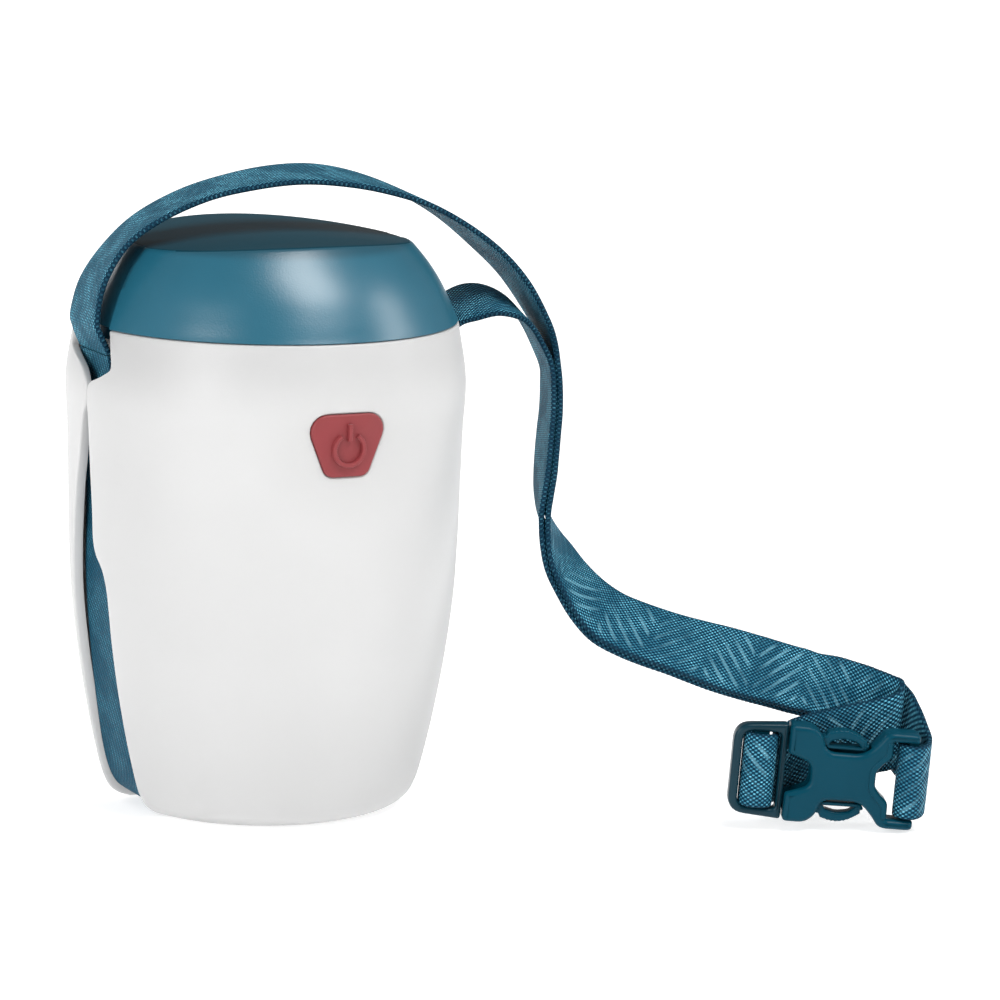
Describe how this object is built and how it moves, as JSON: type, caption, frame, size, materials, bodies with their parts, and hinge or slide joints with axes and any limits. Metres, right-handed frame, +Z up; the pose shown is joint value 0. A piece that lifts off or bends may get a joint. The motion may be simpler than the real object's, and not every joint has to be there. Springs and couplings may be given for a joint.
{
  "type": "camping lantern",
  "caption": "Barrel-shaped rechargeable camping lantern with frosted shells, an arched cap, a soft power button and a webbing strap with a side-release buckle.",
  "frame": {"origin": "centre of the flat base on the surface it stands on", "axes": "+Z up along the body's axis, the power button faces -Y, the strap channels face +X and -X"},
  "size_m": [0.1549, 0.115, 0.1271],
  "materials": {
    "frosted_shell": "satin, translucent",
    "cap_plastic": "satin",
    "silicone_red": "matte",
    "silicone_white": "matte",
    "core_plastic": "matte, translucent",
    "webbing": "woven",
    "buckle_plastic": "satin",
    "circuit_board": "satin",
    "led": "gloss",
    "cell_wrap": "gloss",
    "steel": "satin",
    "switch_plastic": "matte",
    "seal_rubber": "matte"
  },
  "bodies": {
    "lantern": {"front_diffuser": "frosted_shell", "rear_diffuser": "frosted_shell", "top_cap": "cap_plastic", "cap_gasket": "seal_rubber", "light_core": "core_plastic", "led_board": "circuit_board", "led_1": "led", "led_2": "led", "led_3": "led", "led_4": "led", "led_5": "led", "led_6": "led", "control_board": "circuit_board", "power_switch": "switch_plastic", "charge_board": "circuit_board", "charge_socket": "steel", "cell_holder": "core_plastic", "battery_cell": "cell_wrap", "cell_contact_lower": "steel", "cell_contact_upper": "steel", "base_screw_1": "steel", "base_screw_2": "steel", "base_screw_3": "steel", "base_screw_4": "steel", "cap_screw_1": "steel", "cap_screw_2": "steel", "cap_screw_3": "steel", "buckle_female": "buckle_plastic", "buckle_male": "buckle_plastic", "strap_body_run": "webbing", "strap_arch_leg": "webbing", "strap_short_leg": "webbing"},
    "button": {"power_button": "silicone_red"},
    "flap": {"charge_flap": "silicone_white"},
    "arm_upper": {"buckle_arm_upper": "buckle_plastic"},
    "arm_lower": {"buckle_arm_lower": "buckle_plastic"}
  },
  "joints": [
    {"name": "button_press", "type": "slide", "parent": "lantern", "child": "button", "axis": [0, 1, 0], "range_m": [0, 0.001], "stiffness_N_per_m": 1500},
    {"name": "flap_hinge", "type": "hinge", "parent": "lantern", "child": "flap", "pos_m": [0, 0.03618, 0.0256], "axis": [1, 0, 0], "range_deg": [0, 100]},
    {"name": "arm_upper_squeeze", "type": "hinge", "parent": "lantern", "child": "arm_upper", "pos_m": [0.08788, -0.06238, 0.01827], "axis": [0.4051, 0.9143, 0], "range_deg": [0, 7], "stiffness_Nm_per_rad": 1},
    {"name": "arm_lower_squeeze", "type": "hinge", "parent": "lantern", "child": "arm_lower", "pos_m": [0.08708, -0.06202, 0.0051], "axis": [0.4051, 0.9143, 0], "range_deg": [-7, 0], "stiffness_Nm_per_rad": 1}
  ]
}
